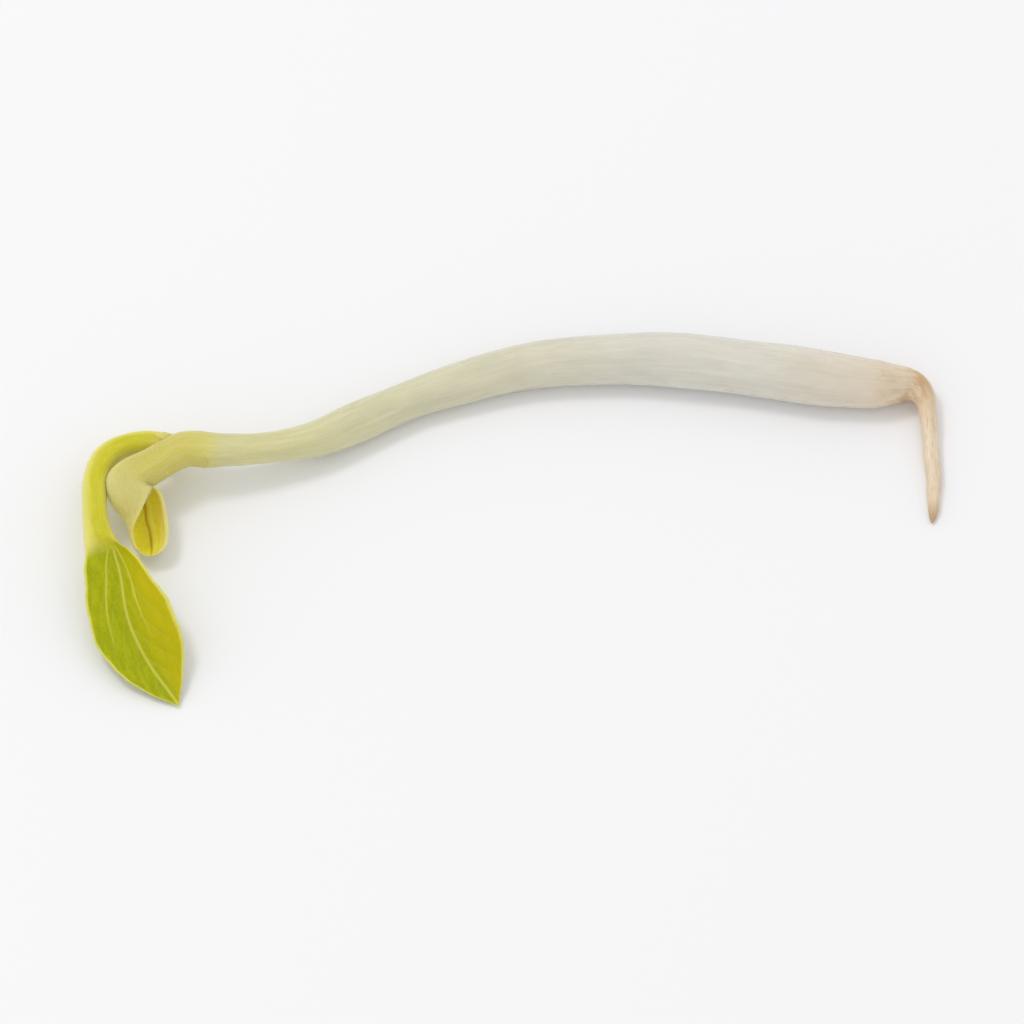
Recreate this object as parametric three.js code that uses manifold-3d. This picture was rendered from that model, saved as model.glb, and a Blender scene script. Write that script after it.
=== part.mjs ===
// A mung bean sprout as it lies when picked: the white stem below the seed leaves (hypocotyl) with
// its root at one end, and at the other a short epicotyl with the two primary leaves on it.
// Millimetres, +Z up. +X runs along the stem from the leaves to the root, z = 0 is the surface that
// the sprout lies on, and the origin is under the middle of its box.
import * as THREE from 'three';
import { mergeVertices } from 'three/addons/utils/BufferGeometryUtils.js';
import Module from 'manifold-3d';

const wasm = await Module();
wasm.setup();

// ---------- driving dimensions ----------

// The stem's axis from the root's tip to the folded leaf, each station [x, y, z, radius].
const STEM_STATIONS = [
  [24.45, 0.25, 0.18, 0.22], // root tip
  [24.55, 1.35, 0.28, 0.36],
  [24.55, 3.15, 0.4, 0.45],
  [24.45, 5.4, 0.49, 0.53],
  [24.35, 7.15, 0.7, 0.58],
  [24.15, 8.3, 0.95, 0.68], // the root bends into the stem
  [23.5, 8.9, 1.12, 0.9],
  [22.45, 9.0, 1.24, 1.17],
  [21.2, 8.95, 1.4, 1.45], // shoulder of the stem
  [18.45, 9.2, 1.55, 1.6],
  [15.45, 9.7, 1.57, 1.62], // thickest
  [10, 10.45, 1.54, 1.59],
  [6.45, 10.6, 1.47, 1.52],
  [1.1, 10.25, 1.31, 1.36],
  [-2.8, 9.2, 1.19, 1.24],
  [-5.9, 8.05, 1.1, 1.15],
  [-8.8, 6.6, 1.15, 1.2], // last place where the stem lies on the surface
  [-11.55, 5.1, 1.55, 1.07],
  [-14.55, 4.15, 2.15, 0.96],
  [-17.3, 3.75, 2.6, 0.99], // node, where the seed leaves stood
  [-19.05, 3.65, 2.8, 1.0],
  [-20.75, 2.65, 2.85, 1.02], // the folded leaf's stalk
  [-22.1, 1.65, 2.7, 1.15], // its hook
  [-21.95, 0.75, 2.4, 1.2],
  [-21.65, 0.2, 2.1, 0.9],
];
const COLLAR_AT = 8.6; // distances along that axis: where the root gives way to the stem
const NODE_AT = 51.5;
const FORK_AT = 54.3; // where the two leaf stalks part
// Waves in the stem's thickness, as a share of its radius: round it and along it.
const STEM_LOBES = { share: 0.012, count: 3, twistPerMm: 0.05 };
const STEM_SWELLS = [
  { share: 0.012, turnPerMm: 0.9, start: 0 },
  { share: 0.01, turnPerMm: 0.37, start: 1 },
];
const NODE_SWELL = { share: 0.06, at: NODE_AT + 0.5, spread: 0.6 };
// The seed leaves' scars sit on both sides of the node, the bud between the two leaf stalks.
const SCAR = { at: NODE_AT + 0.55, halfSize: [0.42, 0.2, 0.34], reach: 0.95 };
const BUD = { centre: [-20.2, 4.15, 3.05], halfSize: [0.55, 0.24, 0.24], turn: -18 };

// The open leaf's axis, stalk then midrib, each station [x, y, z, radius].
const OPEN_LEAF_STATIONS = [
  [-18.05, 3.85, 2.4, 0.62], // inside the epicotyl
  [-19.8, 4.4, 1.95, 0.7],
  [-21.3, 4.75, 1.75, 0.69],
  [-22.8, 4.3, 1.95, 0.71],
  [-23.8, 3.2, 2.35, 0.72], // top of the arch
  [-24.2, 1.9, 2.6, 0.71],
  [-24.25, 0.25, 2.65, 0.73],
  [-24.1, -1.4, 2.5, 0.77],
  [-23.75, -2.7, 2.25, 0.77], // the blade begins
  [-22.9, -4.3, 1.9, 0.58],
  [-22.2, -6.0, 1.5, 0.5],
  [-21.45, -7.65, 1.1, 0.45],
  [-20.45, -9.85, 0.65, 0.38],
  [-19.3, -11.95, 0.27, 0.3], // leaf tip, on the surface
];
const STALK_AT = 2.9; // the open leaf's own tissue starts here, just past the epicotyl
const BLADE_AT = 12.4;
const BLADE_THICKNESS = 0.6;
const BLADE_FOLD = 28; // degrees that each half rises from flat, like a half-open book
const BLADE_ROLL = 18; // degrees that the whole blade is turned about its midrib
const FLATTENING = 0.6; // share of fold and roll that is gone at the tip
const EDGE_WAVE = 3; // degrees by which the halves' rise swings along the blade
const EDGE_TURN_PER_MM = 1.7;
// Half-widths of the open blade at even steps from its base to its tip, either side of its midrib.
const BLADE_LEFT = [0.8, 1.75, 2.25, 2.6, 2.75, 2.6, 2.05, 1.15, 0.25];
const BLADE_RIGHT = [0.75, 1.58, 2.02, 2.35, 2.52, 2.42, 1.95, 1.1, 0.22];

// The folded leaf's small blade is a deep trough. Its axis runs from [x, y, z, outer radius].
const TROUGH_STATIONS = [
  [-21.95, 0.75, 2.35, 1.28],
  [-21.4, -0.1, 2.0, 1.28],
  [-21.15, -0.95, 1.7, 1.2],
  [-21.05, -1.7, 1.42, 1.1],
  [-20.95, -2.5, 1.2, 0.75],
];
const TROUGH_WALL = 0.6;
const TROUGH_LEAST_BORE = 0.06;
const TROUGH_OPENING = 108; // degrees that each wall reaches round from the keel

const STALK_CHANNEL = { depth: 0.14, halfAngle: 0.5 }; // share of the radius, radians
const ROOT_TIP_ROUND = 0.25;
const ROOT_TIP_RINGS = [25, 45, 65]; // degrees round that tip
const JOINT_GAP = 0.05; // between the end faces of two organs that meet
const TURN_REACH = 1.1; // a section faces along the chord this far to either side
const SURFACE_SLAB = 80; // wider and longer than the sprout
const UP = new THREE.Vector3(0, 0, 1);

// How finely the solids are drawn: points round a section and the distance between sections.
const ROOT = { sides: 14, spacing: 0.36 };
const STEM = { sides: 20, spacing: 0.8 };
const NODE = { sides: 20, spacing: 0.35 };
const STALK_BASE = { sides: 16, spacing: 0.35 };
const OPEN_STALK = { sides: 14, spacing: 0.45 };
const BLADE = { columns: 10, spacing: 0.4 };
const HOOK = { sides: 20, spacing: 0.3 };
const TROUGH = { columns: 16, spacing: 0.24 };

// ---------- sweeping ----------

// A smooth axis through stations [x, y, z, radius], met by the distance along it.
function axisThrough(stations) {
  const centres = new THREE.CatmullRomCurve3(
    stations.map(([x, y, z]) => new THREE.Vector3(x, y, z)), false, 'centripetal');
  centres.arcLengthDivisions = 2000;
  const radii = new THREE.SplineCurve(stations.map((station, i) => new THREE.Vector2(i, station[3])));
  const length = centres.getLength();
  const tAt = (distance) => centres.getUtoTmapping(0, Math.min(Math.max(distance, 0), length));
  const pointAt = (distance) => centres.getPoint(tAt(distance));
  return {
    length,
    frameAt(distance) {
      const chord = pointAt(distance + TURN_REACH).sub(pointAt(distance - TURN_REACH));
      const tangent = chord.normalize();
      const side = new THREE.Vector3().crossVectors(UP, tangent).normalize();
      const top = new THREE.Vector3().crossVectors(tangent, side);
      return { centre: pointAt(distance), side, top, radius: radii.getPoint(tAt(distance)).y };
    },
  };
}

// Distances from one place on an axis to another, evenly spaced.
function evenly(from, to, spacing) {
  const steps = Math.max(1, Math.round((to - from) / spacing));
  return Array.from({ length: steps + 1 }, (_, i) => from + ((to - from) * i) / steps);
}

// A closed body along an axis. sectionAt(distance, frame) gives the outline there as [side, top]
// pairs, counter-clockwise seen against the axis, with the same number of points at each distance.
// The second half of the outline is split the other way, which splits a thin blade's two faces alike.
function sweptBody(axis, distances, sectionAt) {
  const positions = [];
  const triangles = [];
  const sections = distances.map((distance) => {
    const frame = axis.frameAt(distance);
    const section = sectionAt(distance, frame);
    for (const [across, above] of section) {
      const point = frame.centre.clone();
      point.addScaledVector(frame.side, across).addScaledVector(frame.top, above);
      positions.push(...point.toArray());
    }
    return section;
  });
  const count = sections[0].length;
  for (let ring = 0; ring + 1 < distances.length; ring++) {
    for (let j = 0; j < count; j++) {
      const a = ring * count + j;
      const b = ring * count + ((j + 1) % count);
      const [c, d] = [b + count, a + count];
      if (j < count / 2) triangles.push(a, b, c, a, c, d);
      else triangles.push(a, b, d, b, c, d);
    }
  }
  addCap(triangles, sections[0], 0, -1);
  addCap(triangles, sections.at(-1), (distances.length - 1) * count, 1);
  const geometry = new THREE.BufferGeometry();
  geometry.setAttribute('position', new THREE.Float32BufferAttribute(positions, 3));
  geometry.setIndex(triangles);
  return geometry;
}

// Closes a section with a strip between its two halves, facing along the axis (1) or against it (-1).
function addCap(triangles, section, firstVertex, facing) {
  for (let j = 0; j + 1 < section.length / 2; j++) {
    const k = section.length - 1 - j;
    for (const corners of [[j, j + 1, k - 1], [j, k - 1, k]]) {
      if (facing < 0) corners.reverse();
      triangles.push(...corners.map((i) => firstVertex + i));
    }
  }
}

// ---------- sections ----------

// A round outline. shape(angle) scales the radius, angle 90 degrees being the top.
function roundSection(radius, sides, shape = () => 1) {
  return Array.from({ length: sides }, (_, i) => {
    const angle = ((i + 0.5) / sides) * 2 * Math.PI;
    const reach = radius * shape(angle);
    return [reach * Math.cos(angle), reach * Math.sin(angle)];
  });
}

// A leaf stalk is nearly round, with a shallow channel along its top.
function channelled(angle) {
  const fromTop = Math.atan2(Math.cos(angle), Math.sin(angle));
  return 1 - STALK_CHANNEL.depth * Math.exp(-((fromTop / STALK_CHANNEL.halfAngle) ** 2));
}

// A thin blade's outline: two halves, 1 and -1, that rise from the midrib at their own angles.
function bladeSection(widthAt, riseAt, thickness, columns) {
  const across = Array.from({ length: columns + 1 }, (_, i) => 1 - (2 * i) / columns);
  const face = (u, offset) => {
    const half = Math.sign(u);
    const rise = half === 0 ? (riseAt(1) + riseAt(-1)) / 2 : riseAt(half);
    const reach = u * widthAt(half);
    return [reach * Math.cos(rise), Math.abs(reach) * Math.sin(rise) + offset / Math.cos(rise)];
  };
  return [
    ...across.map((u) => face(u, thickness / 2)),
    ...across.reverse().map((u) => face(u, -thickness / 2)),
  ];
}

// A trough's outline, open at the top.
function troughSection(radius, wall, opening, columns) {
  const angles = Array.from({ length: columns + 1 }, (_, i) => (opening * (2 * i - columns)) / columns);
  const at = (reach) => (angle) => [reach * Math.sin(angle), -reach * Math.cos(angle)];
  const bore = Math.max(radius - wall, TROUGH_LEAST_BORE);
  return [...angles.map(at(radius)), ...angles.reverse().map(at(bore))];
}

// ---------- joining and cutting ----------

function toSolid(geometry) {
  const bare = geometry.clone();
  bare.deleteAttribute('normal');
  bare.deleteAttribute('uv');
  const merged = mergeVertices(bare, 1e-4);
  return new wasm.Manifold(new wasm.Mesh({
    numProp: 3,
    vertProperties: merged.attributes.position.array,
    triVerts: new Uint32Array(merged.index.array),
  }));
}

function toGeometry(solid) {
  const mesh = solid.getMesh();
  const geometry = new THREE.BufferGeometry();
  geometry.setAttribute('position', new THREE.BufferAttribute(mesh.vertProperties, 3));
  geometry.setIndex(new THREE.BufferAttribute(mesh.triVerts, 1));
  return geometry;
}

// Where tissue lies on the surface it is pressed to a small flat.
function pressedFlat(solid) {
  const slab = new THREE.BoxGeometry(SURFACE_SLAB, SURFACE_SLAB, SURFACE_SLAB);
  return solid.subtract(toSolid(slab.translate(0, 0, -SURFACE_SLAB / 2)));
}

function organ(name, solid, { colour, roughness }) {
  const material = new THREE.MeshStandardMaterial({ color: colour, roughness, metalness: 0 });
  const mesh = new THREE.Mesh(toGeometry(solid), material);
  mesh.name = name;
  return mesh;
}

// ---------- organs ----------

const stem = axisThrough(STEM_STATIONS);
const openLeafAxis = axisThrough(OPEN_LEAF_STATIONS);
const troughAxis = axisThrough(TROUGH_STATIONS);
const radians = THREE.MathUtils.degToRad;

function primaryRoot() {
  const tip = ROOT_TIP_RINGS.map((angle) => ROOT_TIP_ROUND * (1 - Math.cos(radians(angle))));
  const distances = [...tip, ...evenly(ROOT_TIP_ROUND, COLLAR_AT, ROOT.spacing)];
  const body = sweptBody(stem, distances, (distance, { radius }) => {
    const shortOfRound = Math.max(0, 1 - distance / ROOT_TIP_ROUND);
    return roundSection(radius * Math.sqrt(1 - shortOfRound ** 2), ROOT.sides);
  });
  return organ('primary_root', pressedFlat(toSolid(body)), { colour: 0xd9bd98, roughness: 0.6 });
}

function hypocotyl() {
  const distances = evenly(COLLAR_AT + JOINT_GAP, NODE_AT - JOINT_GAP / 2, STEM.spacing);
  const body = sweptBody(stem, distances, (distance, { radius }) => {
    const swell = STEM_SWELLS.reduce(
      (sum, { share, turnPerMm, start }) => sum + share * Math.sin(distance * turnPerMm + start), 1);
    const { share, count, twistPerMm } = STEM_LOBES;
    const lobes = (angle) => 1 + share * Math.cos(count * angle + distance * twistPerMm);
    return roundSection(radius * swell, STEM.sides, lobes);
  });
  return organ('hypocotyl', pressedFlat(toSolid(body)), { colour: 0xecebe0, roughness: 0.35 });
}

// A small rounded form: a sphere of unit radius stretched to half sizes [x, y, z].
function roundedForm(halfSize) {
  return new THREE.SphereGeometry(1, 14, 10).scale(...halfSize);
}

// A low oval scar where a seed leaf has dropped off, on one side (1 or -1) of the node.
function seedLeafScar(side) {
  const { centre, side: across, top, radius } = stem.frameAt(SCAR.at);
  const scar = roundedForm(SCAR.halfSize);
  scar.lookAt(top);
  const place = centre.clone().addScaledVector(across, side * radius * SCAR.reach);
  return toSolid(scar.translate(...place.toArray()));
}

// The bud between the two leaf stalks, pointing along the epicotyl.
function terminalBud() {
  return toSolid(roundedForm(BUD.halfSize).rotateZ(radians(BUD.turn)).translate(...BUD.centre));
}

function epicotyl() {
  const distances = evenly(NODE_AT + JOINT_GAP / 2, FORK_AT - JOINT_GAP / 2, NODE.spacing);
  const main = sweptBody(stem, distances, (distance, { radius }) => {
    const swell = NODE_SWELL.share * Math.exp(-(((distance - NODE_SWELL.at) / NODE_SWELL.spread) ** 2));
    return roundSection(radius * (1 + swell), NODE.sides);
  });
  const stalkBase = sweptBody(openLeafAxis, evenly(0, STALK_AT - JOINT_GAP, STALK_BASE.spacing),
    (distance, { radius }) => roundSection(radius, STALK_BASE.sides, channelled));
  const solid = [toSolid(stalkBase), seedLeafScar(1), seedLeafScar(-1), terminalBud()]
    .reduce((joined, piece) => joined.add(piece), toSolid(main));
  return organ('epicotyl', solid, { colour: 0xccc878, roughness: 0.4 });
}

function openPrimaryLeaf() {
  const { length } = openLeafAxis;
  const stalk = sweptBody(openLeafAxis, evenly(STALK_AT, length, OPEN_STALK.spacing),
    (distance, { radius }) => roundSection(radius, OPEN_STALK.sides, channelled));
  const [left, right] = [BLADE_LEFT, BLADE_RIGHT].map(
    (widths) => new THREE.SplineCurve(widths.map((width, i) => new THREE.Vector2(i, width))));
  const blade = sweptBody(openLeafAxis, evenly(BLADE_AT, length, BLADE.spacing), (distance) => {
    const along = (distance - BLADE_AT) / (length - BLADE_AT);
    const folded = 1 - FLATTENING * along ** 3;
    const riseAt = (half) => radians((BLADE_FOLD + half * BLADE_ROLL) * folded
      + EDGE_WAVE * Math.sin(distance * EDGE_TURN_PER_MM + half));
    const widthAt = (half) => (half > 0 ? right : left).getPoint(along).y;
    return bladeSection(widthAt, riseAt, BLADE_THICKNESS, BLADE.columns);
  });
  const solid = toSolid(stalk).add(toSolid(blade));
  return organ('open_primary_leaf', pressedFlat(solid), { colour: 0xb3b81c, roughness: 0.45 });
}

function foldedPrimaryLeaf() {
  const stalk = sweptBody(stem, evenly(FORK_AT + JOINT_GAP / 2, stem.length, HOOK.spacing),
    (distance, { radius }) => roundSection(radius, HOOK.sides, channelled));
  const trough = sweptBody(troughAxis, evenly(0, troughAxis.length, TROUGH.spacing),
    (distance, { radius }) => troughSection(radius, TROUGH_WALL, radians(TROUGH_OPENING), TROUGH.columns));
  const solid = toSolid(stalk).add(toSolid(trough));
  return organ('folded_primary_leaf', solid, { colour: 0xcabb66, roughness: 0.45 });
}

const sprout = new THREE.Group();
sprout.add(primaryRoot(), hypocotyl(), epicotyl(), openPrimaryLeaf(), foldedPrimaryLeaf());

export default sprout;
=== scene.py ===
"""Looks of one mung bean sprout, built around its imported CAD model.

Every organ is a fine mesh swept along the same axis as its CAD solid. The sprout lies on z = 0
with its stem along +X, and the camera looks down on it along +Y. Lengths in the tables and in the
shape functions are millimetres, as in the part; add_piece turns them into metres. A place on an
organ is told by s, the distance along its axis, and a, the angle round it: 0 at the side, which
is -Y on the stem, and a quarter turn on top.
"""
import math

import bpy
import numpy as np
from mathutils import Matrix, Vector


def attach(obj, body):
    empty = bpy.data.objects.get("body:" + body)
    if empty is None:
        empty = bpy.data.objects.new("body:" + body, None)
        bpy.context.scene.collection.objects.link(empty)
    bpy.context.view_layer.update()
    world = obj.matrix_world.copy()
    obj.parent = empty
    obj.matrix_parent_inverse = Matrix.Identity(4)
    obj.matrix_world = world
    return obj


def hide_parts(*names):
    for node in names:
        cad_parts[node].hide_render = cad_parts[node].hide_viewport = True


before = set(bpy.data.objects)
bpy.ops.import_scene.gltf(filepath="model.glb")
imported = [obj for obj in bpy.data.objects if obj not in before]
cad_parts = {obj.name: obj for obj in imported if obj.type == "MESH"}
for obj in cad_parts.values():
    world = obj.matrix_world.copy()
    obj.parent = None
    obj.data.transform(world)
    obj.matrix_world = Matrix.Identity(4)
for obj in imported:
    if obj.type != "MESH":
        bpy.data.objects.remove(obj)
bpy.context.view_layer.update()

MM = 0.001
UP = np.array([0.0, 0.0, 1.0])
TURN = 2 * math.pi

# ---------- axes, repeated from the part: stations (x, y, z, radius) ----------

STEM_STATIONS = [
    (24.45, 0.25, 0.18, 0.22),  # root tip
    (24.55, 1.35, 0.28, 0.36),
    (24.55, 3.15, 0.4, 0.45),
    (24.45, 5.4, 0.49, 0.53),
    (24.35, 7.15, 0.7, 0.58),
    (24.15, 8.3, 0.95, 0.68),  # the root bends into the stem
    (23.5, 8.9, 1.12, 0.9),
    (22.45, 9.0, 1.24, 1.17),
    (21.2, 8.95, 1.4, 1.45),  # shoulder of the stem
    (18.45, 9.2, 1.55, 1.6),
    (15.45, 9.7, 1.57, 1.62),  # thickest
    (10, 10.45, 1.54, 1.59),
    (6.45, 10.6, 1.47, 1.52),
    (1.1, 10.25, 1.31, 1.36),
    (-2.8, 9.2, 1.19, 1.24),
    (-5.9, 8.05, 1.1, 1.15),
    (-8.8, 6.6, 1.15, 1.2),  # last place where the stem lies on the surface
    (-11.55, 5.1, 1.55, 1.07),
    (-14.55, 4.15, 2.15, 0.96),
    (-17.3, 3.75, 2.6, 0.99),  # node, where the seed leaves stood
    (-19.05, 3.65, 2.8, 1.0),
    (-20.75, 2.65, 2.85, 1.02),  # the folded leaf's stalk
    (-22.1, 1.65, 2.7, 1.15),  # its hook
]
# The stem's axis runs on through the blade of the folded leaf, where the radius is the trough's.
FOLDED_BLADE_STATIONS = [
    (-21.95, 0.75, 2.4, 1.28),
    (-21.4, -0.1, 2.0, 1.25),
    (-21.15, -0.85, 1.7, 1.2),
    (-21.05, -1.5, 1.45, 1.12),
    (-21.0, -2.05, 1.3, 0.98),
    (-20.95, -2.5, 1.2, 0.8),
]
CHORD_REACH = 1.1  # a section faces along the chord this far to either side
# Distances along the stem's axis from the root tip.
COLLAR_AT = 8.6  # the root ends and the white stem begins
NODE_AT = 51.5  # the white stem ends
FORK_AT = 54.3  # the leaf stalks part
MOUTH_AT = 57.4  # the folded leaf's stalk opens into its blade
OVERLAP = 0.3  # each organ runs on this far into its neighbours

OPEN_LEAF_STATIONS = [
    (-18.05, 3.85, 2.4, 0.62),  # inside the epicotyl
    (-19.8, 4.4, 1.95, 0.7),
    (-21.3, 4.75, 1.75, 0.69),
    (-22.8, 4.3, 1.95, 0.71),
    (-23.8, 3.2, 2.35, 0.72),  # top of the arch
    (-24.2, 1.9, 2.6, 0.71),
    (-24.25, 0.25, 2.65, 0.73),
    (-24.1, -1.4, 2.5, 0.77),
    (-23.75, -2.7, 2.25, 0.77),  # the blade begins
    (-22.9, -4.3, 1.9, 0.58),
    (-22.2, -6.0, 1.5, 0.5),
    (-21.45, -7.65, 1.1, 0.45),
    (-20.45, -9.85, 0.65, 0.38),
    (-19.3, -11.95, 0.27, 0.3),  # leaf tip, on the surface
]
BLADE_AT = 12.4  # distance along this axis where the blade begins
BUD_STATIONS = [
    (-19.6, 4.0, 2.9, 0.2),
    (-20.0, 4.12, 3.1, 0.28),
    (-20.4, 4.28, 3.22, 0.2),
    (-20.8, 4.45, 3.26, 0.015),
]
BRACT_STATIONS = [
    (-19.3, 4.3, 2.72, 0.12),
    (-19.7, 4.45, 2.88, 0.16),
    (-20.05, 4.6, 2.96, 0.11),
    (-20.35, 4.76, 3.0, 0.01),
]
# Half widths of the blade in even steps from its base to its tip, either side of the midrib.
BLADE_LEFT = [1.12, 1.75, 2.25, 2.6, 2.75, 2.6, 2.05, 1.15, 0.25]
BLADE_RIGHT = [1.1, 1.58, 2.02, 2.35, 2.52, 2.42, 1.95, 1.1, 0.22]
# How far the midrib lies to the right of the axis, in the same steps.
MIDRIB_SHIFT = [0.7, 0.42, 0.1, -0.22, -0.42, -0.42, -0.3, -0.12, 0.0]


# ---------- curves and fields ----------


def unit(vectors):
    return vectors / np.linalg.norm(vectors, axis=-1, keepdims=True)


def smoothstep(low, high, x):
    t = np.clip((x - low) / (high - low), 0, 1)
    return t * t * (3 - 2 * t)


def bump(x, centre, width):
    return np.exp(-(((x - centre) / width) ** 2))


def around(angle, centre):
    """The signed turn from centre to angle, between minus and plus half a turn."""
    return (angle - centre + math.pi) % TURN - math.pi


def neighbours(padded, t):
    """The four rows round each parameter t from 0 to 1, and how far t is between the middle two."""
    last = len(padded) - 3
    place = np.clip(t, 0, 1) * last
    i = np.minimum(place.astype(int), last - 1)
    return [padded[i + k] for k in range(4)], place - i


def cubic(start, end, leave, arrive, w):
    """Goes from start to end as w goes from 0 to 1, with the slopes leave and arrive."""
    third = 2 * start - 2 * end + leave + arrive
    second = -3 * start + 3 * end - 2 * leave - arrive
    return start + leave * w + second * w**2 + third * w**3


def curve_through(points, t):
    """A centripetal Catmull-Rom curve through points at parameters t from 0 to 1."""
    padded = np.array([2 * points[0] - points[1], *points, 2 * points[-1] - points[-2]])
    (p0, p1, p2, p3), w = neighbours(padded, t)
    steps = (p1 - p0, p2 - p1, p3 - p2)
    gap = [np.sqrt(np.linalg.norm(step, axis=-1, keepdims=True)) for step in steps]
    leave = ((p1 - p0) / gap[0] - (p2 - p0) / (gap[0] + gap[1])) * gap[1] + (p2 - p1)
    arrive = ((p3 - p2) / gap[2] - (p3 - p1) / (gap[1] + gap[2])) * gap[1] + (p2 - p1)
    return cubic(p1, p2, leave, arrive, w[..., None])


def values_through(values, t):
    """A plain Catmull-Rom curve through single values at parameters t from 0 to 1."""
    (p0, p1, p2, p3), w = neighbours(np.array([values[0], *values, values[-1]]), t)
    return cubic(p1, p2, (p2 - p0) / 2, (p3 - p1) / 2, w)


def ripple(*coordinates, seed, cycles, waves=32):
    """Smooth noise of about unit size from waves of all headings.

    cycles holds the least and the greatest number of them in a millimetre."""
    rng = np.random.default_rng(seed)
    total = 0.0
    for _ in range(waves):
        heading = unit(rng.normal(size=len(coordinates)))
        pace = rng.uniform(*cycles)
        phase = rng.uniform(0, TURN)
        run = sum(h * c for h, c in zip(heading, coordinates))
        total = total + np.cos(TURN * pace * run + phase)
    return total / math.sqrt(waves / 2)


def slow_wave(rng, distances, shortest, longest):
    """A wave along distances, -1 to 1, of a drawn length and start."""
    return np.sin(TURN * distances / rng.uniform(shortest, longest) + rng.uniform(0, TURN))


def ridges(angles, distances, seed, count, width, drift):
    """Lengthwise ridges, 0 to 1: drawn places round the body that drift and fade along it."""
    rng = np.random.default_rng(seed)
    field = np.zeros(np.broadcast(angles, distances).shape)
    for k in range(count):
        start = (k + rng.uniform(-0.35, 0.35)) / count * TURN
        sway = drift * slow_wave(rng, distances, 14, 30)
        strength = 0.55 + 0.45 * slow_wave(rng, distances, 5, 16)
        wide = width * rng.uniform(0.6, 1.5)
        field = np.maximum(field, strength * bump(around(angles, start + sway), 0, wide))
    return field


class Axis:
    """A smooth axis through stations (x, y, z, radius), met by the distance along it."""

    SAMPLES = 4001

    def __init__(self, stations):
        stations = np.array(stations, float)
        self.points, self.radii = stations[:, :3], stations[:, 3]
        self.t = np.linspace(0, 1, self.SAMPLES)
        steps = np.diff(curve_through(self.points, self.t), axis=0)
        self.distance = np.concatenate([[0], np.cumsum(np.linalg.norm(steps, axis=1))])
        self.length = float(self.distance[-1])

    def point(self, s):
        return curve_through(self.points, np.interp(s, self.distance, self.t))

    def radius(self, s):
        return values_through(self.radii, np.interp(s, self.distance, self.t))

    def heading(self, s, reach):
        """The direction of the chord from reach before s to reach past it."""
        return unit(self.point(s + reach) - self.point(s - reach))

    def place(self, s, across, above):
        """Points at distances s, set off to the side of the axis and to the top of it."""
        tangents = self.heading(s, CHORD_REACH)
        sides = unit(np.cross(UP, tangents))
        tops = np.cross(tangents, sides)
        return self.point(s) + across[..., None] * sides + above[..., None] * tops

    def place_round(self, s, a, radius):
        return self.place(s, radius * np.cos(a), radius * np.sin(a))


stem = Axis(STEM_STATIONS + FOLDED_BLADE_STATIONS)
open_leaf_axis = Axis(OPEN_LEAF_STATIONS)

# ---------- meshes ----------

FLAT_RIM = 0.03  # softness of the flats where the sprout touches the surface


def add_piece(name, vertices, faces):
    """A smooth-shaded object of vertices in millimetres."""
    mesh = bpy.data.meshes.new(name)
    mesh.from_pydata((vertices.reshape(-1, 3) * MM).tolist(), [], faces)
    mesh.polygons.foreach_set("use_smooth", [True] * len(mesh.polygons))
    mesh.update()
    piece = bpy.data.objects.new(name, mesh)
    bpy.context.collection.objects.link(piece)
    return piece


def add_body(name, points, marks):
    """A closed body from rings of points, shape (rings, count, 3), with marks as point attributes.

    Each end is closed by strips that join the two halves of its ring."""
    rings, count = points.shape[:2]
    ring, j = np.meshgrid(np.arange(rings - 1), np.arange(count), indexing="ij")
    a = ring * count + j
    b = ring * count + (j + 1) % count
    quads = np.stack([a, b, b + count, a + count], -1).reshape(-1, 4)
    half = np.arange(count // 2 - 1)
    near_end = np.stack([half, half + 1, count - 2 - half, count - 1 - half], -1)
    far_end = near_end + (rings - 1) * count
    faces = np.concatenate([quads, near_end[:, ::-1], far_end])
    piece = add_piece(name, points, faces.tolist())
    for mark, values in marks.items():
        values = np.broadcast_to(values, (rings, count) + np.shape(values)[2:])
        kind, field = ("FLOAT_VECTOR", "vector") if values.ndim == 3 else ("FLOAT", "value")
        attribute = piece.data.attributes.new(mark, kind, "POINT")
        attribute.data.foreach_set(field, values.reshape(-1).astype(np.float32))
    return piece


def rest_on_floor(points):
    """Presses whatever would sink below the surface into a small flat with a soft rim."""
    z = points[..., 2]
    points[..., 2] = 0.5 * (z + np.sqrt(z * z + FLAT_RIM * FLAT_RIM))
    return points


def ring_grid(distances, count):
    """Distances and angles of rings with count points each."""
    angles = (np.arange(count) + 0.5) / count * TURN
    return np.meshgrid(distances, angles, indexing="ij")


def round_grain(s, a):
    """Coordinates for noise on a round organ, which join up behind it."""
    return np.stack([np.cos(a), np.sin(a), s / 10], -1)


def tuck_in(s, start, end):
    """A factor that sinks what reaches past start and end into the neighbouring organs."""
    depth = 0.2
    before = 1 - smoothstep(start - OVERLAP, start, s)
    after = smoothstep(end, end + OVERLAP, s)
    return 1 - depth * before - depth * after


# ---------- root, stem and epicotyl ----------

# Rings along each organ and points round it.
ROOT_RINGS, ROOT_ROUND = 270, 96
STEM_RINGS, STEM_ROUND = 460, 192
EPICOTYL_RINGS, EPICOTYL_ROUND = 130, 160
YOUNG_LEAF_RINGS, YOUNG_LEAF_ROUND = 44, 48
TIP_ANGLES = (12, 25, 38, 50, 62, 72, 80)  # rings of the root's tip, in degrees from its end

STEM_WAVES = ((0.012, 0.9, 0.0), (0.01, 0.37, 1.0))  # share of the radius, pace and start
NODE_SWELLING = 0.045
THREE_SIDEDNESS = 0.012
# Heights in the skin, in millimetres.
STRAND_HEIGHT = 0.008
GROOVE_HEIGHT = 0.003
HOLLOW_DEPTH = 0.02
COLLAR_CREASE = 0.014
NODE_CREASE = 0.003
FORK_SWELLING = 0.42
FORK_SIDE = math.radians(-135)  # low at the back, where the open leaf's stalk leaves
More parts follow.
